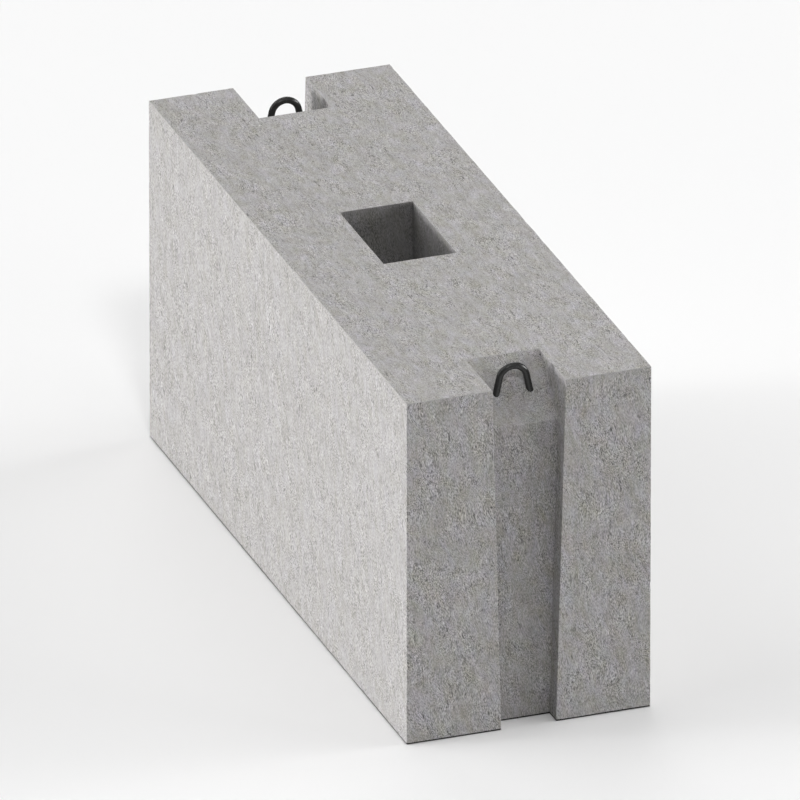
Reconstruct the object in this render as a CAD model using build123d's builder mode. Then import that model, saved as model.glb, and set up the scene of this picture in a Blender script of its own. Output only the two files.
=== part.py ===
from build123d import *
import os

# A precast concrete foundation wall block with a core, end keyways and two cast-in lifting loops.
# Sizes are in millimetres. X runs along the block, Y across it and Z up.
# The origin is the centre of the bed face, the face that the block stands on.

# Cast block
block_length = 1180.0
block_width = 400.0
block_height = 580.0
arris_break = 1.5  # chamfer that the mould leaves on the outer edges

# Core: the open shaft down the middle
core_length = 200.0
core_width = 120.0

# Keyway down each end, wider at the top so that its former draws upwards
keyway_depth = 30.0
keyway_width_at_bed = 90.0
keyway_width_at_top = 120.0

# Pocket round each lifting loop: the keyway's back slopes away from the end face
pocket_reach = 120.0  # from the end face, along the top face
pocket_drop = 80.0  # from the top face down to the keyway's back

# Lifting loop: one bent round bar
bar_diameter = 11.0
loop_inset = 73.0  # from the end face to the plane that the bar lies in
loop_rise = 6.5  # top of the arch above the top face
arch_radius = 22.5  # to the bar's centreline
leg_splay = 12.0  # degrees that each leg leans outwards
leg_length = 320.0  # straight part of each leg, from the arch to its hook
hook_radius = 17.5  # to the bar's centreline
hook_turn = 180.0  # degrees
hook_tail = 30.0  # straight end of the bar past its hook

end_face_x = block_length / 2
keyway_back_x = end_face_x - keyway_depth
pocket_lip_x = end_face_x - pocket_reach
pocket_foot_z = block_height - pocket_drop
loop_x = end_face_x - loop_inset
arch_centre_z = block_height + loop_rise - bar_diameter / 2 - arch_radius


# One lifting loop in a plane across the block: an arch, two splayed legs and two outward hooks
def bend_lifting_loop(label, x):
    with BuildPart() as bar:
        with BuildLine(Plane.YZ.offset(x)) as centreline:
            arch = CenterArc((0, arch_centre_z), arch_radius, leg_splay, 180 - 2 * leg_splay)
            for start, side in ((arch @ 0, 1), (arch @ 1, -1)):
                leg = PolarLine(start, leg_length, -90 + side * leg_splay)
                hook = JernArc(leg @ 1, leg % 1, hook_radius, side * hook_turn)
                PolarLine(hook @ 1, hook_tail, direction=hook % 1)
        bar_path = centreline.wires()[0]
        with BuildSketch(Plane(origin=bar_path @ 0, z_dir=bar_path % 0)):
            Circle(bar_diameter / 2)
        sweep(path=bar_path)
    bar.part.label = label
    return bar


# Everything that is left open at the two ends: the keyways and the pockets above them
with BuildPart() as end_formers:
    with BuildSketch(Plane.XZ):
        with BuildLine():
            Polyline(
                (end_face_x, 0),
                (keyway_back_x, 0),
                (keyway_back_x, pocket_foot_z),
                (pocket_lip_x, block_height),
                (end_face_x, block_height),
                close=True,
            )
        make_face()
    extrude(amount=block_width / 2, both=True)
    with BuildSketch(Plane.YZ.offset(pocket_lip_x)):
        with BuildLine():
            Polyline(
                (-keyway_width_at_bed / 2, 0),
                (keyway_width_at_bed / 2, 0),
                (keyway_width_at_top / 2, block_height),
                (-keyway_width_at_top / 2, block_height),
                close=True,
            )
        make_face()
    extrude(amount=pocket_reach, mode=Mode.INTERSECT)
    mirror(about=Plane.YZ)

lifting_loop_front = bend_lifting_loop("lifting_loop_front", loop_x)
lifting_loop_back = bend_lifting_loop("lifting_loop_back", -loop_x)

# The concrete, cast round the formers and the bars
with BuildPart() as block_body:
    with BuildSketch(Plane.XY):
        Rectangle(block_length, block_width)
    extrude(amount=block_height)
    chamfer(block_body.edges(), length=arris_break)
    with BuildSketch(Plane.XY):
        Rectangle(core_length, core_width)
    extrude(amount=block_height, mode=Mode.SUBTRACT)
    add(end_formers.part, mode=Mode.SUBTRACT)
    add(lifting_loop_front.part, mode=Mode.SUBTRACT)
    add(lifting_loop_back.part, mode=Mode.SUBTRACT)
block_body.part.label = "block_body"

os.makedirs("parts", exist_ok=True)
export_step(block_body.part, "parts/block_body.step")
export_step(lifting_loop_front.part, "parts/lifting_loop_front.step")
export_step(lifting_loop_back.part, "parts/lifting_loop_back.step")
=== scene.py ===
"""Scene of a precast concrete foundation wall block with two cast-in lifting loops.

Sizes are in millimetres, and MM makes metres of them where a mesh is made. X runs along the block, Y
across it and Z up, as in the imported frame. The near end is at +X and the side in full light is at -Y.
"""

import logging
import math
import random
from dataclasses import dataclass
from enum import Enum
from itertools import combinations
from typing import Sequence, Union

import bpy
import numpy as np
from mathutils import Matrix, Vector, noise
from mathutils.geometry import delaunay_2d_cdt


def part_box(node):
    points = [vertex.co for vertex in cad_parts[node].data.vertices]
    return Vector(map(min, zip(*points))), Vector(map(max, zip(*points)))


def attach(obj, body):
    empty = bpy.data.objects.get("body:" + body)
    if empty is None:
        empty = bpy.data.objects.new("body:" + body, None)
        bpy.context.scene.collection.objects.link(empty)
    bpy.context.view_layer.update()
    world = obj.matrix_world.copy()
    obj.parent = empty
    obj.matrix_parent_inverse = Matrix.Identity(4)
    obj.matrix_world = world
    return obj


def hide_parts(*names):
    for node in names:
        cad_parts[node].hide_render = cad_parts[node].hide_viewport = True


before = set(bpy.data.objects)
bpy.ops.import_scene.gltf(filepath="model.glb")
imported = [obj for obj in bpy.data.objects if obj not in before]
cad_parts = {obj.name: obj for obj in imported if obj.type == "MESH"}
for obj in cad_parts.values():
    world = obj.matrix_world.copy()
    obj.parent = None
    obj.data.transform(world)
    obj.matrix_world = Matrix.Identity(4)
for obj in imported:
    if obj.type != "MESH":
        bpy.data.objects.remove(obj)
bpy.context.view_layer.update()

MM = 0.001
TINY = 1e-6
WHOLE_OBJECT = "root"

Pair = tuple[float, float]
Point = tuple[float, float, float]
Colour = tuple[float, float, float, float]
Value = Union["Wire", float, Sequence[float]]

WHITE: Colour = (1.0, 1.0, 1.0, 1.0)

log = logging.getLogger("foundation_block")


class Grain(Enum):
    """The way in which the cement skin of a face is drawn out."""

    UPRIGHT = (0.0, 0.0, 1.0)
    LENGTHWISE = (1.0, 0.0, 0.0)


class Wire:
    """One output socket, with arithmetic for the number that runs through it."""

    def __init__(self, shader: "Shader", socket: bpy.types.NodeSocket) -> None:
        """Keeps the socket and the shader that it belongs to."""
        self.shader = shader
        self.socket = socket

    def __add__(self, other: Value) -> "Wire":
        """Gives self + other."""
        return self.shader.math("ADD", self, other)

    def __sub__(self, other: Value) -> "Wire":
        """Gives self - other."""
        return self.shader.math("SUBTRACT", self, other)

    def __rsub__(self, other: Value) -> "Wire":
        """Gives other - self."""
        return self.shader.math("SUBTRACT", other, self)

    def __mul__(self, other: Value) -> "Wire":
        """Gives self * other."""
        return self.shader.math("MULTIPLY", self, other)

    __radd__ = __add__
    __rmul__ = __mul__


class Shader:
    """The node tree of one material, or of the sky light."""

    def __init__(self, owner: Union[bpy.types.Material, bpy.types.World],
                 surface: str = "Principled BSDF") -> None:
        """Opens the tree.

        Args:
            owner: the new material or world.
            surface: the name of the node that shades it.
        """
        owner.use_nodes = True
        self.owner = owner
        self.tree = owner.node_tree
        self.surface = self.tree.nodes[surface]

    def feed(self, node: bpy.types.Node, values: dict[str, Value]) -> None:
        """Sets or links a node's inputs.

        Args:
            node: the node.
            values: a number, a colour or a wire for each input, by the input's identifier or name.
        """
        for name, value in values.items():
            matches = [socket for socket in node.inputs if name in (socket.identifier, socket.name)]
            if isinstance(value, Wire):
                self.tree.links.new(value.socket, matches[0])
            else:
                matches[0].default_value = value

    def node(self, kind: str, settings: dict, values: dict[str, Value], result: str = "") -> Wire:
        """Adds one node.

        Args:
            kind: the node's type without its ShaderNode prefix.
            settings: the node's own settings, which are set first.
            values: what its inputs hold.
            result: the identifier of the output that is wanted, or nothing for the first.

        Returns:
            The output as a wire.
        """
        node = self.tree.nodes.new("ShaderNode" + kind)
        for name, value in settings.items():
            setattr(node, name, value)
        self.feed(node, values)
        if not result:
            return Wire(self, node.outputs[0])
        return Wire(self, next(socket for socket in node.outputs if socket.identifier == result))

    def math(self, operation: str, first: Value, second: Value) -> Wire:
        """Adds a Math node and gives its result."""
        return self.node("Math", {"operation": operation}, {"Value": first, "Value_001": second})

    def vector(self, operation: str, *values: Value) -> Wire:
        """Adds a Vector Math node for vectors or colours and gives its result."""
        names = ("Vector", "Vector_001", "Vector_002")
        return self.node("VectorMath", {"operation": operation}, dict(zip(names, values)))

    def mix(self, amount: Value, first: Value, second: Value) -> Wire:
        """Gives a colour between two, by an amount from 0 to 1."""
        values = {"Factor_Float": amount, "A_Color": first, "B_Color": second}
        return self.node("Mix", {"data_type": "RGBA"}, values, "Result_Color")

    def scaled(self, colour: Value, amount: Value) -> Wire:
        """Gives a colour times a number."""
        values = {"Vector": colour if isinstance(colour, Wire) else colour[:3], "Scale": amount}
        return self.node("VectorMath", {"operation": "SCALE"}, values)

    def ramp(self, value: Value, low: float, high: float) -> Wire:
        """Gives 0 below a low value and 1 above a high one, with a smooth rise between them."""
        settings = {"interpolation_type": "SMOOTHSTEP"}
        return self.node("MapRange", settings, {"Value": value, "From Min": low, "From Max": high})

    def painted(self, name: str) -> Wire:
        """Gives a value that the mesh holds at its vertices."""
        return self.node("Attribute", {"attribute_name": name}, {}, "Fac")

    def relief(self, height: Wire, strength: float, depth: float) -> Wire:
        """Gives the normal of a surface with fine relief, of a depth in millimetres."""
        return self.node("Bump", {}, {"Strength": strength, "Distance": depth * MM, "Height": height})


@dataclass(frozen=True)
class Speckle:
    """Noise of one size of mark.

    Args:
        size: the width of a mark in millimetres.
        detail, roughness: how many finer octaves it has, and how strong they are.
        draw: how many times longer than wide a mark is, on a face with a grain.
        swing: how strongly it changes the tone.
        rise: the values of the noise between which a spot comes up.
        height: how far it raises the surface, as a share of the relief.
    """

    size: float
    detail: float = 2.0
    roughness: float = 0.5
    draw: float = 1.0
    swing: float = 0.0
    rise: Pair = (0.0, 1.0)
    height: float = 0.0

    def on(self, shader: Shader, place: Wire, colour: bool = False) -> Wire:
        """Adds the noise.

        Args:
            shader: the material.
            place: the position in metres.
            colour: true for three channels that vary apart from each other.

        Returns:
            The noise, about 0.5 on average.
        """
        values = {"Vector": place, "Scale": 1 / (self.size * MM), "Detail": self.detail,
                  "Roughness": self.roughness}
        return shader.node("TexNoise", {}, values, "Color" if colour else "Fac")


@dataclass(frozen=True)
class CastConcrete:
    """Grey concrete with a cement skin, drawn-out grain, pits, pores and faint patches of colour.

    Args:
        contact_shadow_shade, contact_shadow_rise: the painted contact shadow along the foot, and the
        heights between which it ends.
        sand, grain, streak, mottle: marks on the skin, from the finest to the broadest.
        clusters: the places where fine marks and pits crowd together.
        swirl, swirl_reach: what bends the grain, and how far in millimetres.
        warm_dark: how much more red, green and blue follow the coarse marks.
        lean: how far the grain leans off the upright, as a slope.
        sparse_pits, fine_range: how strong pits and fine marks are outside the clusters and in them.
        pit_cover, pore_dirt_and_shade_cover: how fully pits take on their colour, and how fully pores take
            on their dirt and painted shade.
        relief: the strength of the fine relief, and its depth in millimetres.
        dullness: how rough the skin is, and how far that follows the grain.
    """

    cement: Colour = (0.3405, 0.3315, 0.3252, 1.0)
    pit_shade: Colour = (0.105, 0.103, 0.1005, 1.0)
    # The colour in air pores: partly dirt and partly painted shade in the hollows.
    pore_dirt_and_shade: Colour = (0.07, 0.067, 0.062, 1.0)
    # The colour of a painted contact shadow: a dark line along the foot where the block meets the floor.
    contact_shadow_shade: Colour = (0.018, 0.017, 0.016, 1.0)
    contact_shadow_rise: Pair = (2.5, 3.3)
    sand: Speckle = Speckle(1.15, 1.0, 0.5, 3.6, swing=2.35, height=0.3)
    grain: Speckle = Speckle(2.4, 2.0, 0.65, 6.0, swing=0.68, height=0.8)
    streak: Speckle = Speckle(6.5, 2.0, 0.5, 4.5, swing=0.40)
    mottle: Speckle = Speckle(18.0, 3.0, 0.55, 2.2, swing=0.46)
    pits: Speckle = Speckle(3.6, 1.0, 0.5, 4.4, rise=(0.64, 0.76), height=-1.1)
    scars: Speckle = Speckle(8.0, 3.0, 0.6, 3.2, rise=(0.66, 0.74))
    clusters: Speckle = Speckle(36.0, 2.0, 0.5, 1.6, rise=(0.38, 0.62))
    patches: Speckle = Speckle(22.0, 2.0, 0.5, 1.6)
    cloud: Speckle = Speckle(140.0, swing=0.03)
    swirl: Speckle = Speckle(70.0, 1.0)
    swirl_reach: float = 27.0
    hue_swing: tuple[float, float, float] = (0.09, 0.08, 0.24)
    warm_dark: tuple[float, float, float] = (0.0, 0.0, 0.42)
    lean: float = 0.2
    lengthwise_gain: float = 0.36
    sparse_pits: float = 0.35
    fine_range: Pair = (0.65, 1.25)
    scar_share: float = 0.8
    pit_cover: float = 0.92
    pore_dirt_and_shade_cover: float = 0.4
    # How much the worn rounding of an arris is lightened, partly as worn concrete and partly as a painted
    # edge highlight.
    wear_and_edge_highlight_gain: float = 0.06
    contact_shadow_waver: float = 2.0
    coarse_height: float = 0.4
    relief: Pair = (0.45, 0.6)
    dullness: Pair = (0.86, 0.2)
    gloss: float = 0.3

    def material(self) -> bpy.types.Material:
        """Makes the material.

        Returns:
            The material, which reads the values that each face paints on the mesh.
        """
        shader = Shader(bpy.data.materials.new("cast_concrete"))
        names = ("texture", "tint", "painted_light", "pore", "wear", "foot", "lengthwise")
        texture, tint, painted_light, pore, wear, foot, lengthwise = map(shader.painted, names)
        flat = shader.node("TexCoord", {}, {}, "Object")
        bend = shader.scaled(self.swirl.on(shader, flat, True), self.swirl_reach * MM)
        place = shader.vector("ADD", flat, bend)
        height = shader.node("SeparateXYZ", {}, {"Vector": flat}, "Z")
        leaning = shader.scaled((self.lean, self.lean, 0.0), height)

        def drawn(speckle: Speckle, colour: bool = False) -> Wire:
            """Adds noise that is drawn out along the grain of each face.

            Args:
                speckle: the noise.
                colour: true for three channels that vary apart from each other.

            Returns:
                The noise, about 0.5 on average.
            """
            pull = shader.node("Mix", {"data_type": "VECTOR"}, {
                "Factor_Float": lengthwise,
                "A_Vector": (1.0, 1.0, 1 / speckle.draw),
                "B_Vector": (1 / speckle.draw, 1.0, 1.0),
            }, "Result_Vector")
            return speckle.on(shader, shader.vector("MULTIPLY_ADD", place, pull, leaning), colour)

        marks = (self.sand, self.grain, self.streak, self.mottle, self.cloud)
        sand, grain, streak, mottle, cloud = (drawn(mark) - 0.5 for mark in marks)
        spots = (self.clusters, self.pits, self.scars)
        cluster, pits, scars = (shader.ramp(drawn(spot), *spot.rise) for spot in spots)

        coarse = streak * self.streak.swing + mottle * self.mottle.swing
        coarse = coarse * (1.0 + lengthwise * self.lengthwise_gain)
        sparse, dense = self.fine_range
        fine = sand * self.sand.swing + grain * self.grain.swing
        fine = fine * (sparse + cluster * (dense - sparse))
        # The face's painted light and shade scales its whole tone.
        level = (1.0 + texture * (fine + coarse) + cloud * self.cloud.swing) * painted_light
        pits = pits * (self.sparse_pits + cluster * (1 - self.sparse_pits))
        pits = shader.math("MAXIMUM", pits, scars * self.scar_share)

        shift = [-0.5 * swing for swing in self.hue_swing]
        hues = shader.vector("MULTIPLY_ADD", drawn(self.patches, True), self.hue_swing, shift)
        hues = shader.vector("ADD", hues, shader.scaled(self.warm_dark, coarse))
        faint = tint * tint
        tints = shader.node("CombineXYZ", {}, {"X": faint, "Y": faint, "Z": tint})
        hues = shader.vector("MULTIPLY_ADD", hues, tints, WHITE[:3])
        skin = shader.scaled(shader.vector("MULTIPLY", hues, self.cement[:3]), level)
        skin = shader.mix(pits * texture * self.pit_cover, skin, self.pit_shade)
        # Darkens the air pores, partly as dirt and partly as painted shade in the hollows.
        skin = shader.mix(pore * self.pore_dirt_and_shade_cover, skin, self.pore_dirt_and_shade)
        # Lightens the rounding of each arris: partly worn concrete, partly a painted edge highlight.
        skin = shader.scaled(skin, 1.0 + wear * self.wear_and_edge_highlight_gain)
        # Paints the contact shadow along the foot, fading out between two heights above the bed.
        contact_shadow = 1.0 - shader.ramp(foot + cloud * self.contact_shadow_waver, *self.contact_shadow_rise)

        raised = sand * self.sand.height + grain * self.grain.height + pits * self.pits.height
        raised = texture * raised + coarse * self.coarse_height
        shader.feed(shader.surface, {
            "Base Color": shader.mix(contact_shadow, skin, self.contact_shadow_shade),
            "Roughness": self.dullness[0] + grain * self.dullness[1],
            "Normal": shader.relief(raised, *self.relief),
            "Specular IOR Level": self.gloss,
        })
        return shader.owner


@dataclass(frozen=True)
class RolledSteel:
    """Dark hot-rolled bar with a thin skin of scale, rubbed in flecks.

    Args:
        bare: how metallic a rubbed fleck is.
        dullness: how rough the scale is, and how much more the flecks are.
        relief: the strength of the fine relief, and its depth in millimetres.
    """

    scale: Colour = (0.026, 0.026, 0.0254, 1.0)
    rubbed: Colour = (0.06, 0.058, 0.055, 1.0)
    flecks: Speckle = Speckle(2.2, 3.0, 0.6, rise=(0.55, 0.8))
    patches: Speckle = Speckle(14.0, 2.0, rise=(0.4, 0.7))
    bare: float = 0.5
    dullness: Pair = (0.16, 0.18)
    relief: Pair = (0.25, 0.2)
    gloss: float = 0.33

    def material(self) -> bpy.types.Material:
        """Makes the material.

        Returns:
            The material.
        """
        shader = Shader(bpy.data.materials.new("rolled_steel"))
        place = shader.node("TexCoord", {}, {}, "Object")
        flecks, patches = (speckle.on(shader, place) for speckle in (self.flecks, self.patches))
        rub = shader.ramp(flecks, *self.flecks.rise) * shader.ramp(patches, *self.patches.rise)
        shader.feed(shader.surface, {
            "Base Color": shader.mix(rub, self.scale, self.rubbed),
            "Roughness": self.dullness[0] + flecks * self.dullness[1],
            "Metallic": rub * self.bare,
            "Normal": shader.relief(flecks, *self.relief),
            "Specular IOR Level": self.gloss,
        })
        return shader.owner


@dataclass(frozen=True)
class PaleFloor:
    """A plain, nearly white studio floor."""

    paint: Colour = (0.955, 0.955, 0.955, 1.0)
    cloud: Speckle = Speckle(400.0, 2.0, swing=0.01)
    dullness: float = 0.9
    gloss: float = 0.1

    def material(self) -> bpy.types.Material:
        """Makes the material.

        Returns:
            The material.
        """
        shader = Shader(bpy.data.materials.new("pale_floor"))
        cloud = self.cloud.on(shader, shader.node("TexCoord", {}, {}, "Object")) - 0.5
        shader.feed(shader.surface, {
            "Base Color": shader.scaled(self.paint, 1.0 + cloud * self.cloud.swing),
            "Roughness": self.dullness,
            "Specular IOR Level": self.gloss,
        })
        return shader.owner


@dataclass(frozen=True)
class Swell:
    """Smooth unevenness of a mesh.

    Args:
        size: the size of a swell in millimetres.
        seed: a shift that makes one unevenness differ from another.
        gain: what takes it to the range from 0 to 1, round 0.5.
    """

    size: float
    seed: float
    gain: float = 0.8

    def at(self, points: np.ndarray) -> np.ndarray:
        """Gives a number for each point, mostly between -0.6 and 0.6."""
        return np.array([noise.noise(Vector(p)) for p in points / self.size + self.seed])

    def hollow(self, points: np.ndarray) -> np.ndarray:
        """Gives a number from 0 to 1 for each point."""
        return np.clip(0.5 + self.at(points) * self.gain, 0.0, 1.0)


def smooth(values: np.ndarray) -> np.ndarray:
    """Gives a smooth rise from 0 at 0 to 1 at 1."""
    held = np.clip(values, 0.0, 1.0)
    return held * held * (3 - 2 * held)


def oval(count: int, reach: Sequence[float], start: float = 0.0) -> np.ndarray:
    """Gives evenly turned points on an oval with two half widths, from a starting angle."""
    angles = start + np.arange(count) * math.tau / count
    return np.stack((np.cos(angles), np.sin(angles)), axis=1) * reach


def stations(start: Point, end: Point, step: float) -> np.ndarray:
    """Divides an arris evenly, alike from either of its ends.

    Args:
        start: one corner.
        end: the other corner.
        step: the widest spacing.

    Returns:
        The points from start up to, but without, the end.
    """
    first, last = sorted((start, end))
    count = max(1, math.ceil(math.dist(first, last) / step))
    points = np.linspace(first, last, count + 1)
    if first != start:
        points = points[::-1]
    return points[:-1]


@dataclass(frozen=True)
class Dressing:
    """How one kind of face is meshed and coloured.

    Args:
        step: the spacing of the plain mesh.
        pores: how many air pores it has in a square metre.
        texture: how strong its grain is.
        tint: how patchy its colour is.
        painted_light: painted light and shade, how much lighter or darker the whole face is drawn for how
            light falls on it.
    """

    step: float
    pores: float = 0.0
    texture: float = 1.0
    tint: float = 1.0
    painted_light: float = 1.0


@dataclass(frozen=True)
class Face:
    """One flat face of the casting.

    Args:
        name: the face's name.
        loops: corners in millimetres, the outline first and then any hole.
        facing: roughly the way that the face looks.
        grain: the way in which its cement skin is drawn out.
        dressing: its mesh and colour.
    """

    name: str
    loops: tuple[tuple[Point, ...], ...]
    facing: Point
    grain: Grain
    dressing: Dressing

    def axes(self) -> np.ndarray:
        """Finds the directions of the face.

        Returns:
            Three unit rows: along the grain, across it, and out of the face.
        """
        corners = np.array(self.loops[0])
        out = sum(np.cross(a, b) for a, b in zip(corners, np.roll(corners, -1, axis=0)))
        out = out / np.linalg.norm(out) * math.copysign(1.0, float(np.dot(out, self.facing)))
        along = np.array(self.grain.value)
        along = along - out * np.dot(along, out)
        along /= np.linalg.norm(along)
        return np.array((along, np.cross(out, along), out))

    def edges(self) -> list[tuple[Point, Point]]:
        """Gives the corners at the two ends of each edge, loop by loop."""
        return [(loop[i], loop[(i + 1) % len(loop)]) for loop in self.loops for i in range(len(loop))]


@dataclass(frozen=True)
class AirPores:
    """The air pores of a face: deep ovals with uneven outlines, from small to large.

    Args:
        length, width: half the size of a small and of a large pore.
        rarity: the power that makes large pores rare.
        fattening: what the width of a small and of a large pore is multiplied by.
        wobble, wobbles: how far an outline is off an oval, as factors, and how many are drawn.
        rings: for each ring, its share of the outline, its share of the depth and its points.
        room: the radius that a pore takes, in half lengths.
        apart, edge_gap: the least gap to other spots, and to the rows beside an arris.
    """

    length: Pair = (1.2, 3.2)
    width: Pair = (0.8, 1.5)
    depth: Pair = (0.4, 1.1)
    rarity: float = 2.2
    fattening: Pair = (0.8, 1.2)
    lean: float = 0.35
    wobble: Pair = (0.78, 1.22)
    wobbles: int = 16
    rings: tuple[tuple[float, float, int], ...] = ((1.0, 0.0, 9), (0.66, 0.75, 7), (0.0, 1.0, 1))
    room: float = 1.2
    apart: float = 1.0
    edge_gap: float = 1.5

    def shape(self, draw: random.Random) -> tuple[float, list[tuple[np.ndarray, float, float]]]:
        """Shapes one pore.

        Args:
            draw: the face's own random numbers.

        Returns:
            The radius that it takes, and for each ring its points round the pore's middle, its depth
            and its share of the depth.
        """
        big = draw.random() ** self.rarity
        length, fattening, depth = (low + (high - low) * big
                                    for low, high in (self.length, self.fattening, self.depth))
        width = draw.uniform(*self.width) * fattening
        lean = draw.gauss(0.0, self.lean)
        start = draw.uniform(0, math.tau)
        wobble = np.array([draw.uniform(*self.wobble) for _ in range(self.wobbles)])
        tilt = np.array(((math.cos(lean), math.sin(lean)), (-math.sin(lean), math.cos(lean))))
        rings = []
        for share, sink, count in self.rings:
            ring = oval(count, (length, width), start) * (share * wobble[:count])[:, None]
            rings.append((ring @ tilt, depth * sink, sink))
        return length * self.room, rings


@dataclass(frozen=True)
class Skin:
    """How the surface of the casting departs from flat.

    Args:
        arris_rows: how far in from an arris its close rows of points lie.
        row_slack: how near to another edge a point of a row may lie, in its own distances.
        arris_wear, wear, wear_swing: the average wear of an arris, and how it changes along it.
        foot_wear, foot_height: how much more it is worn at the bed, and up to what height.
        shelter, shelter_width: the share of the wear in the keyways, and the half width they take.
        chip_rarity: the unevenness above which there is a chip.
        flat_margin: how far from an edge the swell of the mould reaches its full depth.
        lattice_pitch, lattice_margin: the gap between rows of plain points, and the one to the rows
            beside an arris, in steps.
    """

    arris_rows: tuple[float, ...] = (0.7, 1.7, 4.2)
    arris_step: float = 6.0
    row_slack: float = 0.98
    arris_wear: float = 1.1
    least_wear: float = 0.25
    wear: Swell = Swell(38.0, 3.7)
    wear_swing: float = 0.9
    foot_wear: float = 1.3
    foot_height: float = 8.0
    shelter: float = 0.55
    shelter_width: float = 66.0
    chips: Swell = Swell(17.0, 41.3)
    chip_reach: float = 7.0
    chip_rarity: float = 0.43
    swell: Swell = Swell(120.0, 11.9)
    swell_depth: float = 0.35
    ripple: Swell = Swell(24.0, 23.1)
    ripple_depth: float = 0.12
    flat_margin: float = 18.0
    pores: AirPores = AirPores()
    pore_clearance: float = 3.0
    lattice_pitch: float = 0.866
    lattice_shake: float = 0.18
    lattice_margin: float = 0.4

    def wear_reach(self, points: np.ndarray) -> np.ndarray:
        """Finds how far the rounding of an arris reaches from it.

        Args:
            points: points near it, in the block's frame.

        Returns:
            A distance for each point.
        """
        slow = 1.0 + self.wear_swing * self.wear.at(points)
        chips = np.maximum(0.0, self.chips.at(points) - self.chip_rarity)
        foot = self.foot_wear * np.clip(1 - points[:, 2] / self.foot_height, 0, 1)
        sheltered = np.abs(points[:, 1]) < self.shelter_width
        worn = self.arris_wear * slow + self.chip_reach * np.where(sheltered, 0.0, chips)
        worn = worn * np.where(sheltered, self.shelter, 1.0) + foot
        return np.clip(worn, self.least_wear, self.arris_rows[-1])

    def unevenness(self, points: np.ndarray) -> np.ndarray:
        """Gives how deep the open face lies under the flat one."""
        return self.swell_depth * self.swell.hollow(points) + self.ripple_depth * self.ripple.hollow(points)


@dataclass(frozen=True)
class Collar:
    """Cement that clings to a bar where it comes out of a face.

    Args:
        centre: where the bar's middle crosses the face.
        reach: the bar's half width along and across the face's own axes.
        rise: how far the cement climbs the bar.
        rings: for each ring, its size in bars and its share of the rise.
    """

    centre: Point
    reach: Pair
    rise: float = 0.9
    rings: tuple[Pair, ...] = ((0.97, 1.0), (1.2, 0.45), (1.6, 0.0))
    sides: int = 14


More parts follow.
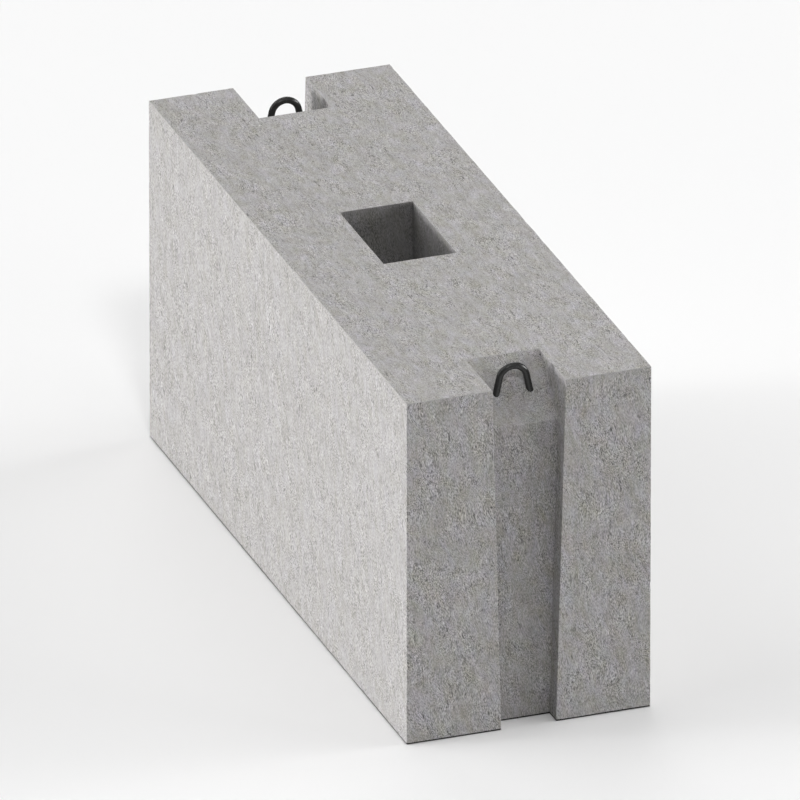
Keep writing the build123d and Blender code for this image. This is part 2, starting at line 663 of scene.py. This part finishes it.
class FaceMesh:
    """The triangles of one face, laid out flat and then given their relief."""

    def __init__(self, face: Face, skin: Skin, turns: list[float], collars: Sequence[Collar]) -> None:
        """Prepares the flat outline.

        Args:
            face: the face.
            skin: its relief.
            turns: for each edge, the angle in radians by which the surface turns over it, or 0 where
                the edge isn't an outer one.
            collars: the bars that come out of it.
        """
        self.face = face
        self.skin = skin
        self.turns = turns
        self.collars = collars
        self.axes = face.axes()
        self.origin = np.array(face.loops[0][0])
        self.corners = [(self.flat(a), self.flat(b)) for a, b in face.edges()]
        self.inward = [self.find_inward(start, end) for start, end in self.corners]
        self.draw = random.Random(face.name)
        self.places: list[Pair] = []
        self.sunk: list[float] = []
        self.pore: list[float] = []

    def flat(self, points: Sequence) -> np.ndarray:
        """Gives points of the face in its own two axes."""
        return (np.asarray(points) - self.origin) @ self.axes[:2].T

    def solid(self, places: np.ndarray) -> np.ndarray:
        """Gives points of the face in the block's frame."""
        return self.origin + places @ self.axes[:2]

    def extent(self) -> tuple[np.ndarray, np.ndarray]:
        """Gives the lowest and the highest corner of the box round the outline."""
        outline = np.array([start for start, _ in self.corners])
        return outline.min(axis=0), outline.max(axis=0)

    def add(self, places: Sequence, sunk: float = 0.0, pore: float = 0.0) -> None:
        """Adds points to the face.

        Args:
            places: flat points.
            sunk: how deep they all lie.
            pore: how far they are in a pore, from 0 to 1.
        """
        for place in places:
            self.places.append((float(place[0]), float(place[1])))
            self.sunk.append(sunk)
            self.pore.append(pore)

    def add_row(self, places: np.ndarray, row: float) -> None:
        """Adds those points of a row beside an edge that aren't nearer to another one.

        Args:
            places: flat points.
            row: the row's distance from its edge.
        """
        gaps, _ = self.gaps(places)
        self.add(places[self.inside(places) & (gaps.min(axis=1) > row * self.skin.row_slack)])

    def gaps(self, places: np.ndarray) -> tuple[np.ndarray, np.ndarray]:
        """Measures the way from each edge to each point.

        Args:
            places: flat points.

        Returns:
            The distances, points by edges, and the unit directions from the edges.
        """
        gaps, ways = [], []
        for (start, end), inward in zip(self.corners, self.inward):
            run = end - start
            share = np.clip((places - start) @ run / (run @ run), 0, 1)
            away = places - (start + share[:, None] * run)
            gap = np.linalg.norm(away, axis=1)
            ways.append(np.where(gap[:, None] > TINY, away / np.maximum(gap, TINY)[:, None], inward))
            gaps.append(gap)
        return np.array(gaps).T, np.array(ways).transpose(1, 0, 2)

    def find_inward(self, start: np.ndarray, end: np.ndarray, probe: float = 0.01) -> np.ndarray:
        """Finds the way from an edge into the face.

        Args:
            start: the flat point where the edge starts.
            end: the one where it ends.
            probe: how far beside the edge this is tried.

        Returns:
            The unit direction.
        """
        run = (end - start) / np.linalg.norm(end - start)
        side = np.array((-run[1], run[0]))
        tried = (start + end) / 2 + side * probe
        return side if self.inside(tried[None])[0] else -side

    def inside(self, places: np.ndarray) -> np.ndarray:
        """Finds which points lie in the face, by counting the edges to one side of each.

        Args:
            places: flat points.

        Returns:
            True for each point inside.
        """
        crossings = np.zeros(len(places), dtype=int)
        for start, end in self.corners:
            spans = (start[1] > places[:, 1]) != (end[1] > places[:, 1])
            rise = end[1] - start[1]
            if rise:
                where = start[0] + (places[:, 1] - start[1]) * (end[0] - start[0]) / rise
                crossings += spans & (places[:, 0] < where)
        return crossings % 2 == 1

    def add_outline(self) -> list[tuple[int, int]]:
        """Adds the points of the outline.

        Returns:
            The links between them, as pairs of their numbers.
        """
        links = []
        for loop in self.face.loops:
            first = len(self.places)
            for i, corner in enumerate(loop):
                self.add(self.flat(stations(corner, loop[(i + 1) % len(loop)], self.skin.arris_step)))
            count = len(self.places) - first
            links += [(first + k, first + (k + 1) % count) for k in range(count)]
        return links

    def add_arris_rows(self) -> None:
        """Adds close rows of points beside each outer edge, where it is rounded."""
        for inward, (start, end), turn in zip(self.inward, self.face.edges(), self.turns):
            if turn:
                line = self.flat(stations(start, end, self.skin.arris_step))[1:]
                for row in self.skin.arris_rows:
                    self.add_row(line + inward * row, row)

    def add_corner_points(self) -> None:
        """Adds the points of the rows where two outer edges meet."""
        edges = [edge for edge in zip(self.corners, self.inward, self.turns) if edge[2]]
        for (ends, inward, _), (other_ends, other_inward, _) in combinations(edges, 2):
            shared = [p for p in ends for q in other_ends if np.allclose(p, q)]
            if shared:
                for row in self.skin.arris_rows:
                    self.add_row((shared[0] + (inward + other_inward) * row)[None], row)

    def add_collars(self) -> np.ndarray:
        """Adds the rings round each bar.

        Returns:
            The spots that they take: two coordinates and a radius in each row.
        """
        spots = []
        for collar in self.collars:
            centre = self.flat(collar.centre)
            for scale, rise in collar.rings:
                self.add(centre + oval(collar.sides, collar.reach) * scale, -rise * collar.rise)
            self.add(centre[None], -collar.rise)
            spots.append((*centre, max(collar.reach) * collar.rings[-1][0]))
        return np.array(spots).reshape(-1, 3)

    def add_pores(self, taken: np.ndarray) -> np.ndarray:
        """Adds air pores at random places that are free.

        Args:
            taken: spots that are in use, with their radii.

        Returns:
            The spots in use now.
        """
        pores = self.skin.pores
        low, high = self.extent()
        for _ in range(round(self.face.dressing.pores * float(np.prod(high - low)) * MM * MM)):
            centre = np.array([self.draw.uniform(a, b) for a, b in zip(low, high)])
            radius, rings = pores.shape(self.draw)
            gaps, _ = self.gaps(centre[None])
            inside = self.inside(centre[None])[0]
            off_edges = gaps.min() > radius + self.skin.arris_rows[-1] + pores.edge_gap
            away = np.hypot(*(taken[:, :2] - centre).T)
            if inside and off_edges and (away > taken[:, 2] + radius + pores.apart).all():
                for ring, depth, sink in rings:
                    self.add(centre + ring, depth, sink)
                taken = np.vstack((taken, (*centre, radius)))
        return taken

    def add_lattice(self, taken: np.ndarray) -> None:
        """Adds the plain points of the open face.

        Args:
            taken: spots to stay clear of, with their radii.
        """
        skin, step = self.skin, self.face.dressing.step
        low, high = self.extent()
        points = []
        for j in range(math.ceil((high[1] - low[1]) / (step * skin.lattice_pitch)) + 1):
            for i in range(math.ceil((high[0] - low[0]) / step) + 1):
                x, y = (self.draw.uniform(-skin.lattice_shake, skin.lattice_shake) for _ in range(2))
                points.append((low[0] + (i + 0.5 * (j % 2) + x) * step,
                               low[1] + (j * skin.lattice_pitch + y) * step))
        points = np.array(points)
        gaps, _ = self.gaps(points)
        margin = skin.arris_rows[-1] + step * skin.lattice_margin
        points = points[self.inside(points) & (gaps.min(axis=1) > margin)]
        for x, y, radius in taken:
            away = np.hypot(points[:, 0] - x, points[:, 1] - y)
            points = points[away > radius + skin.pore_clearance]
        self.add(points)

    def build(self) -> tuple[np.ndarray, np.ndarray, dict[str, np.ndarray], np.ndarray]:
        """Lays out the face.

        Returns:
            The flat points in the block's frame, their shifts, the values painted on them and the
            triangles.
        """
        links = self.add_outline()
        self.add_arris_rows()
        self.add_corner_points()
        self.add_lattice(self.add_pores(self.add_collars()))
        places = np.array(self.places)
        made = delaunay_2d_cdt([Vector(place) for place in self.places], links, [], 0, TINY, True)
        sources = [originals[0] for originals in made[3]]
        triangles = np.array([[sources[i] for i in corner] for corner in made[2]])
        triangles = triangles[self.inside(places[triangles].mean(axis=1))]
        base = self.solid(places)
        gaps, ways = self.gaps(places)
        shift, wear = self.rounding(base, gaps, ways)
        margin = smooth(gaps.min(axis=1) / self.skin.flat_margin)
        sunk = np.array(self.sunk) + margin * self.skin.unevenness(base)
        shift -= sunk[:, None] * self.axes[2]
        ones = np.ones(len(base))
        bed = self.face.facing[2] < 0
        foot = base[:, 2] + bed * gaps.min(axis=1)
        painted = {
            "pore": np.array(self.pore),
            "wear": wear,
            "foot": np.minimum(foot, self.skin.foot_height),
            "texture": self.face.dressing.texture * ones,
            "tint": self.face.dressing.tint * ones,
            # painted light and shade of the whole face
            "painted_light": self.face.dressing.painted_light * ones,
            "lengthwise": (self.face.grain is Grain.LENGTHWISE) * ones,
        }
        return base, shift, painted, triangles

    def rounding(self, base: np.ndarray, gaps: np.ndarray,
                 ways: np.ndarray) -> tuple[np.ndarray, np.ndarray]:
        """Rounds the outer edges.

        Args:
            base: the points in the block's frame.
            gaps: their distances from the edges.
            ways: the directions from the edges.

        Returns:
            The shift of each point and how worn it is.
        """
        shift = np.zeros_like(base)
        deep = np.zeros(len(base))
        wear = np.zeros(len(base))
        reach = self.skin.wear_reach(base)
        for k, turn in enumerate(self.turns):
            if not turn:
                continue
            near = gaps[:, k] < reach
            span, gap = reach[near], gaps[near, k]
            radius = span / math.tan(turn / 2)
            first = span - radius * math.sin(turn / 2)
            from_edge = first + (1 - first / span) * gap
            deep[near] += (radius - np.sqrt(radius ** 2 - (span - from_edge) ** 2)) ** 2
            shift[near] += ((from_edge - gap)[:, None] * ways[near, k]) @ self.axes[:2]
            wear[near] = np.maximum(wear[near], 1 - gap / span)
        shift -= np.sqrt(deep)[:, None] * self.axes[2]
        return shift, wear


@dataclass
class CastBlock:
    """The concrete: one casting with a core, a keyway and a pocket at each end.

    Args:
        pocket_reach, pocket_drop: how far a pocket goes in along the top, and down the keyway.
        sharp_angle: the least angle of an edge that shades sharply, in degrees.
        welds: the parts of a millimetre to which shared points are matched.
    """

    core_length: float = 200.0
    core_width: float = 120.0
    keyway_depth: float = 30.0
    keyway_width_at_bed: float = 90.0
    keyway_width_at_top: float = 120.0
    pocket_reach: float = 120.0
    pocket_drop: float = 80.0
    # The last number of each dressing is painted light and shade: the top and the slope are drawn lighter,
    # and the core, the keyways, the cheeks and slightly the ends darker, for how light falls on them.
    top_face: Dressing = Dressing(11.0, 620.0, 0.8, 0.72, 1.165)
    bed_face: Dressing = Dressing(40.0, 0.0, 0.6)
    side_face: Dressing = Dressing(11.5, 560.0, 0.93, 0.42)
    core_wall: Dressing = Dressing(18.0, 0.0, 0.85, 0.6, 0.7)
    end_strip: Dressing = Dressing(10.0, 1500.0, 1.0, 1.0, 0.98)
    cheek: Dressing = Dressing(8.0, 0.0, 1.05, 0.8, 0.86)
    keyway_back: Dressing = Dressing(9.0, 900.0, 1.0, 1.0, 0.86)
    slope: Dressing = Dressing(6.0, 600.0, 0.88, 1.0, 1.11)
    skin: Skin = Skin()
    finish: CastConcrete = CastConcrete()
    sharp_angle: float = 62.0
    welds: int = 1000

    def __post_init__(self) -> None:
        """Takes the outer sizes from the frame."""
        low, high = (np.array(corner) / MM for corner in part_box("block_body"))
        self.half_length = float(high[0] - low[0]) / 2
        self.half_width = float(high[1] - low[1]) / 2
        self.height = float(high[2] - low[2])

    def keyway_half(self, z: float) -> float:
        """Gives half the keyway's width at a height."""
        share = z / self.height
        return (self.keyway_width_at_bed * (1 - share) + self.keyway_width_at_top * share) / 2

    def notched(self, z: float, reach: float) -> tuple[Point, ...]:
        """Gives the outline of the top or the bed, with a notch at each end.

        Args:
            z: the height.
            reach: how far the notches go in from the ends.

        Returns:
            The corners.
        """
        half = self.keyway_half(z)
        out, back, wide = self.half_length, self.half_length - reach, self.half_width
        quarter = [(out, wide), (out, half), (back, half)]
        front = [(x, -y, z) for x, y in quarter] + [(x, y, z) for x, y in reversed(quarter)]
        rear = [(-x, -y, z) for x, y, _ in front]
        return tuple(front + rear)

    def faces(self) -> list[Face]:
        """Lays out the casting.

        Returns:
            Every face of it.
        """
        out, wide, tall = self.half_length, self.half_width, self.height
        core_x, core_y = self.core_length / 2, self.core_width / 2
        core = [(core_x, core_y), (-core_x, core_y), (-core_x, -core_y), (core_x, -core_y)]
        mouths = [tuple((x, y, z) for x, y in core) for z in (0.0, tall)]
        up, long = Grain.UPRIGHT, Grain.LENGTHWISE
        top = (self.notched(tall, self.pocket_reach), mouths[1])
        bed = (self.notched(0.0, self.keyway_depth), mouths[0])
        faces = [
            Face("top", top, (0, 0, 1), long, self.top_face),
            Face("bed", bed, (0, 0, -1), long, self.bed_face),
        ]
        for side in (-1, 1):
            sheet = ((-out, 0.0), (out, 0.0), (out, tall), (-out, tall))
            corners = tuple((x, side * wide, z) for x, z in sheet)
            faces.append(Face(f"side_{side}", (corners,), (0, side, 0), up, self.side_face))
        for k, (x, y) in enumerate(core):
            next_x, next_y = core[(k + 1) % 4]
            corners = ((x, y, 0.0), (next_x, next_y, 0.0), (next_x, next_y, tall), (x, y, tall))
            facing = (-(x + next_x), -(y + next_y), 0)
            faces.append(Face(f"core_{k}", (corners,), facing, up, self.core_wall))
        return faces + self.end_faces(-1) + self.end_faces(1)

    def end_faces(self, end: int) -> list[Face]:
        """Lays out one end of the casting.

        Args:
            end: 1 at the +X end of the block, and -1 at the -X end.

        Returns:
            The faces of that end.
        """
        out, wide, tall = self.half_length, self.half_width, self.height
        back, lip, foot = out - self.keyway_depth, out - self.pocket_reach, tall - self.pocket_drop
        half, up = self.keyway_half, Grain.UPRIGHT
        faces = []
        for side in (-1, 1):
            strip = ((end * out, side * wide, 0.0), (end * out, side * wide, tall),
                     (end * out, side * half(tall), tall), (end * out, side * half(0.0), 0.0))
            faces.append(Face(f"end_{end}_{side}", (strip,), (end, 0, 0), up, self.end_strip))
            profile = ((out, 0.0), (back, 0.0), (back, foot), (lip, tall), (out, tall))
            cheek = tuple((end * x, side * half(z), z) for x, z in profile)
            faces.append(Face(f"cheek_{end}_{side}", (cheek,), (0, -side, 0), up, self.cheek))
        lower, upper = half(foot), half(tall)
        keyway = ((end * back, -half(0.0), 0.0), (end * back, half(0.0), 0.0),
                  (end * back, lower, foot), (end * back, -lower, foot))
        slope = ((end * back, -lower, foot), (end * back, lower, foot),
                 (end * lip, upper, tall), (end * lip, -upper, tall))
        faces.append(Face(f"keyway_{end}", (keyway,), (end, 0, 0), up, self.keyway_back))
        faces.append(Face(f"slope_{end}", (slope,), (end, 0, 1), up, self.slope))
        return faces

    def turns(self, faces: list[Face]) -> list[list[float]]:
        """Finds how far the surface turns over each edge.

        Args:
            faces: all the faces.

        Returns:
            For each face, one angle for each edge, which is 0 at inner corners.
        """
        owners: dict[frozenset, list[int]] = {}
        for k, face in enumerate(faces):
            for edge in face.edges():
                owners.setdefault(frozenset(edge), []).append(k)
        turns = []
        for k, face in enumerate(faces):
            mesh = FaceMesh(face, self.skin, [], [])
            row = []
            for edge, inward in zip(face.edges(), mesh.inward):
                other, = [n for n in owners[frozenset(edge)] if n != k]
                other_out = faces[other].axes()[2]
                outward = -inward @ mesh.axes[:2]
                angle = math.acos(np.clip(mesh.axes[2] @ other_out, -1, 1))
                row.append(angle if other_out @ outward > 0 else 0.0)
            turns.append(row)
        return turns

    def build(self, loops: Sequence["LiftingLoop"]) -> bpy.types.Object:
        """Makes the casting.

        Args:
            loops: the lifting loops that it holds.

        Returns:
            The piece.
        """
        faces = self.faces()
        parts = []
        for face, turns in zip(faces, self.turns(faces)):
            collars = [c for loop in loops for c in loop.collars(self) if face.name == f"slope_{loop.end}"]
            parts.append(FaceMesh(face, self.skin, turns, collars).build())
        base, shift = (np.vstack([part[k] for part in parts]) for k in (0, 1))
        starts = np.cumsum([0] + [len(part[0]) for part in parts])
        triangles = np.vstack([part[3] + start for part, start in zip(parts, starts)])
        keys = np.round(base * self.welds).astype(int)
        _, first, owner, count = np.unique(keys, axis=0, return_index=True, return_inverse=True,
                                           return_counts=True)

        def shared(values: np.ndarray) -> np.ndarray:
            """Averages values over the points that faces share.

            Args:
                values: a row for each point of each face.

            Returns:
                A row for each vertex of the casting.
            """
            total = np.zeros((len(first), *values.shape[1:]))
            np.add.at(total, owner, values)
            return (total.T / count).T

        piece = new_piece("cast_block", base[first] + shared(shift), owner[triangles])
        for name in parts[0][2]:
            layer = piece.data.attributes.new(name, "FLOAT", "POINT")
            layer.data.foreach_set("value", shared(np.concatenate([part[2][name] for part in parts])))
        dress(piece, self.finish.material(), self.sharp_angle)
        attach(piece, WHOLE_OBJECT)
        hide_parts("block_body")
        return piece


@dataclass
class LiftingLoop:
    """One bent bar: an arch that shows, and two splayed legs with hooks inside the concrete.

    Args:
        node: the solid that it stands for.
        end: 1 at the +X end of the block, and -1 at the -X end.
        inset: how far in from the end face the bar stands.
        arch_radius, hook_radius: the bends, to the bar's middle line.
        splay: how far a leg leans out, in radians.
        fine_leg: how much of a leg has the fine spacing of points.
        end_rings: the rings on each end of the bar, as shares of its width.
    """

    name: str
    node: str
    end: int
    finish: RolledSteel
    diameter: float = 11.0
    inset: float = 73.0
    arch_radius: float = 22.5
    splay: float = math.radians(12)
    leg_length: float = 320.0
    hook_radius: float = 17.5
    hook_tail: float = 30.0
    sides: int = 28
    fine_step: float = 2.2
    hook_step: float = 3.3
    coarse_step: float = 9.0
    fine_leg: float = 45.0
    dents: Swell = Swell(7.0, 5.3)
    dent_depth: float = 0.06
    dent_swing: float = 0.08
    end_rings: Pair = (0.86, 0.5)
    sharp_angle: float = 50.0

    def __post_init__(self) -> None:
        """Takes the loop's place from the frame."""
        low, high = (np.array(corner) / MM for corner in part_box(self.node))
        self.x = float(low[0] + high[0]) / 2
        self.arch_height = float(high[2]) - self.diameter / 2 - self.arch_radius

    def half_path(self) -> list[tuple[float, float, float]]:
        """Gives the bar's middle line from the top of the arch to one end.

        Returns:
            For each station, its place across the block, its height and the bar's heading, in radians
            from level, where the bar starts level and turns downwards.
        """
        heading, y, z = 0.0, 0.0, self.arch_height + self.arch_radius
        path = [(y, z, heading)]
        quarter = math.pi / 2 - self.splay
        runs = [
            (self.arch_radius * quarter, 1 / self.arch_radius, self.fine_step),
            (self.fine_leg, 0.0, self.fine_step),
            (self.leg_length - self.fine_leg, 0.0, self.coarse_step),
            (self.hook_radius * math.pi, -1 / self.hook_radius, self.hook_step),
            (self.hook_tail, 0.0, self.coarse_step),
        ]
        for length, bend, step in runs:
            count = math.ceil(length / step)
            part = length / count
            for _ in range(count):
                half_turn = part * bend / 2
                chord = part if not bend else 2 / abs(bend) * math.sin(abs(half_turn))
                heading += half_turn
                y += chord * math.cos(heading)
                z -= chord * math.sin(heading)
                heading += half_turn
                path.append((y, z, heading))
        return path

    def collars(self, block: CastBlock) -> list[Collar]:
        """Finds where the two legs leave the pocket's slope.

        Args:
            block: the casting that holds the bar.

        Returns:
            A collar of cement for each leg.
        """
        rise = block.pocket_drop / (block.pocket_reach - block.keyway_depth)
        z = block.height - block.pocket_drop + (self.inset - block.keyway_depth) * rise
        shoulder_y = self.arch_radius * math.cos(self.splay)
        shoulder_z = self.arch_height + self.arch_radius * math.sin(self.splay)
        y = shoulder_y + (shoulder_z - z) * math.tan(self.splay)
        along = self.diameter / 2 * math.hypot(1, rise)
        return [Collar((self.x, side * y, z), (along, self.diameter / 2)) for side in (-1, 1)]

    def rings(self) -> list[np.ndarray]:
        """Lays rings of points along the bar, and smaller ones on its two ends.

        Returns:
            The rings, from one end to the other.
        """
        half = self.half_path()
        path = [(-y, z, -heading) for y, z, heading in reversed(half[1:])] + half
        radius = self.diameter / 2
        centres, rings = [], []
        for y, z, heading in path:
            outward = (0.0, math.sin(heading), math.cos(heading))
            ring = oval(self.sides, (1.0, 1.0)) @ np.array((outward, (1.0, 0.0, 0.0)))
            centre = np.array((self.x, y, z))
            dents = self.dent_depth + self.dent_swing * self.dents.at(centre + ring * radius)
            centres.append(centre)
            rings.append(centre + ring * (radius - np.maximum(dents, 0.0))[:, None])
        head, tail = ([centres[k] + (rings[k] - centres[k]) * share for share in self.end_rings]
                      for k in (0, -1))
        return head[::-1] + rings + tail

    def build(self) -> bpy.types.Object:
        """Makes the bar.

        Returns:
            The piece.
        """
        rings = self.rings()
        faces = []
        for r in range(len(rings) - 1):
            a, b = r * self.sides, (r + 1) * self.sides
            for s in range(self.sides):
                t = (s + 1) % self.sides
                faces.append((a + s, a + t, b + t, b + s))
        last = (len(rings) - 1) * self.sides
        faces.append(tuple(reversed(range(self.sides))))
        faces.append(tuple(last + s for s in range(self.sides)))
        piece = new_piece(self.name, np.vstack(rings), faces)
        dress(piece, self.finish.material(), self.sharp_angle)
        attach(piece, WHOLE_OBJECT)
        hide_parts(self.node)
        return piece


def new_object(name: str, data: bpy.types.ID) -> bpy.types.Object:
    """Puts a mesh, a lamp or a camera into the scene.

    Args:
        name: the object's name.
        data: what it holds.

    Returns:
        The object.
    """
    made = bpy.data.objects.new(name, data)
    bpy.context.scene.collection.objects.link(made)
    return made


def new_piece(name: str, places: np.ndarray, faces: Sequence) -> bpy.types.Object:
    """Makes a mesh object.

    Args:
        name: the object's name.
        places: its vertices in millimetres.
        faces: its faces as vertex numbers.

    Returns:
        The object, in the scene.
    """
    mesh = bpy.data.meshes.new(name)
    mesh.from_pydata((np.asarray(places) * MM).tolist(), [], [list(map(int, face)) for face in faces])
    return new_object(name, mesh)


def dress(piece: bpy.types.Object, material: bpy.types.Material, sharp_angle: float) -> None:
    """Gives a piece its material and its shading.

    Args:
        piece: the piece.
        material: the material.
        sharp_angle: the least angle of an edge that shades sharply, in degrees.
    """
    piece.data.shade_smooth()
    piece.data.set_sharp_from_angle(angle=math.radians(sharp_angle))
    piece.data.materials.append(material)


@dataclass(frozen=True)
class Lamp:
    """One soft light, far away.

    Args:
        name: its name.
        azimuth: degrees round from -Y towards +X, where it stands.
        height: degrees above the floor.
        width: degrees across, seen from the block.
        power: watts on a square metre.
    """

    name: str
    azimuth: float
    height: float
    width: float
    power: float


@dataclass(frozen=True)
class Studio:
    """The floor, the light and the camera, in metres and degrees.

    Args:
        lamp_distance: how far off the lamps are drawn, which doesn't change their light.
        dome_overhead, dome_narrowness: the sky light from straight above, and the power by which it
            falls off towards the sides.
        backdrop: how bright the camera sees the backdrop behind the floor.
        camera_lens, camera_reach: its focal length in millimetres, and how far it sees, in its own
            distances.
        aim, aim_right, aim_up: the block's middle, and how far beside and above it the camera aims.
    """

    floor: PaleFloor = PaleFloor()
    floor_width: float = 400.0
    lamps: tuple[Lamp, ...] = (
        Lamp("left_softbox", 346.0, 2.6, 9.0, 2.72),
        Lamp("left_wing", 342.0, 8.0, 30.0, 1.02),
        Lamp("right_softbox", 150.0, 10.0, 26.0, 0.96),
        Lamp("rear_softbox", 177.0, 12.5, 32.0, 2.24),
        Lamp("far_softbox", 262.0, 18.0, 44.0, 0.75),
        Lamp("back_fill", 250.0, 43.0, 40.0, 0.22),
        Lamp("high_fill", 336.0, 44.0, 50.0, 0.81),
        Lamp("front_fill", 78.0, 47.0, 8.0, 0.58),
        Lamp("front_wing", 110.0, 36.0, 30.0, 0.18),
    )
    lamp_distance: float = 3.0
    dome_overhead: float = 1.14
    dome_narrowness: float = 8.0
    backdrop: float = 0.93
    camera_azimuth: float = 70.07
    camera_height: float = 25.265
    camera_distance: float = 56.86
    camera_lens: float = 1650.0
    camera_reach: float = 4.0
    aim: Point = (0.0, 0.0, 0.290)
    aim_right: float = 0.0029
    aim_up: float = 0.00304

    def heading(self, azimuth: float, height: float) -> Vector:
        """Gives the unit direction of a place seen from the block, from its azimuth and height."""
        a, h = math.radians(azimuth), math.radians(height)
        return Vector((math.sin(a) * math.cos(h), -math.cos(a) * math.cos(h), math.sin(h)))

    def lay_floor(self) -> None:
        """Lays the floor."""
        half = self.floor_width / 2
        corners = [(-half, -half, 0), (half, -half, 0), (half, half, 0), (-half, half, 0)]
        floor = new_piece("studio_floor", np.array(corners) / MM, [(0, 1, 2, 3)])
        floor.data.materials.append(self.floor.material())

    def hang_lamps(self) -> None:
        """Hangs the lamps."""
        for lamp in self.lamps:
            data = bpy.data.lights.new(lamp.name, "SUN")
            data.energy = lamp.power
            data.angle = math.radians(lamp.width)
            way = self.heading(lamp.azimuth, lamp.height)
            hung = new_object(lamp.name, data)
            hung.rotation_euler = way.to_track_quat("Z", "Y").to_euler()
            hung.location = way * self.lamp_distance

    def raise_dome(self) -> None:
        """Sets the dome of sky light, and the backdrop that only the camera sees."""
        world = bpy.data.worlds.new("studio_dome")
        bpy.context.scene.world = world
        shader = Shader(world, "Background")
        way = shader.node("TexCoord", {}, {}, "Generated")
        upward = shader.math("MAXIMUM", shader.node("SeparateXYZ", {}, {"Vector": way}, "Z"), 0.0)
        glow = shader.math("POWER", upward, self.dome_narrowness) * self.dome_overhead
        seen = shader.node("LightPath", {}, {}, "Is Camera Ray")
        shader.feed(shader.surface, {"Color": WHITE, "Strength": seen * self.backdrop + glow})

    def place_camera(self) -> None:
        """Places the camera and points it at the block."""
        back = self.heading(self.camera_azimuth, self.camera_height)
        azimuth = math.radians(self.camera_azimuth)
        right = Vector((math.cos(azimuth), math.sin(azimuth), 0.0))
        up = back.cross(right)
        data = bpy.data.cameras.new("camera")
        data.lens = self.camera_lens
        data.clip_end = self.camera_reach * self.camera_distance
        aim = Vector(self.aim) + right * self.aim_right + up * self.aim_up
        turn = Matrix((right, up, back)).transposed().to_4x4()
        camera = new_object("camera", data)
        camera.matrix_world = Matrix.Translation(aim + back * self.camera_distance) @ turn
        bpy.context.scene.camera = camera

    def set_up(self) -> None:
        """Makes the whole studio."""
        self.lay_floor()
        self.hang_lamps()
        self.raise_dome()
        self.place_camera()
        bpy.context.scene.view_settings.view_transform = "Standard"


def main() -> None:
    """Builds the block and its studio."""
    logging.basicConfig(level=logging.INFO, format="%(message)s")
    steel = RolledSteel()
    loops = [
        LiftingLoop("lifting_loop_near", "lifting_loop_front", 1, steel),
        LiftingLoop("lifting_loop_far", "lifting_loop_back", -1, steel),
    ]
    for piece in [CastBlock().build(loops)] + [loop.build() for loop in loops]:
        mesh = piece.data
        log.info("%s: %d vertices, %d faces", piece.name, len(mesh.vertices), len(mesh.polygons))
    Studio().set_up()


if __name__ == "__main__":
    main()
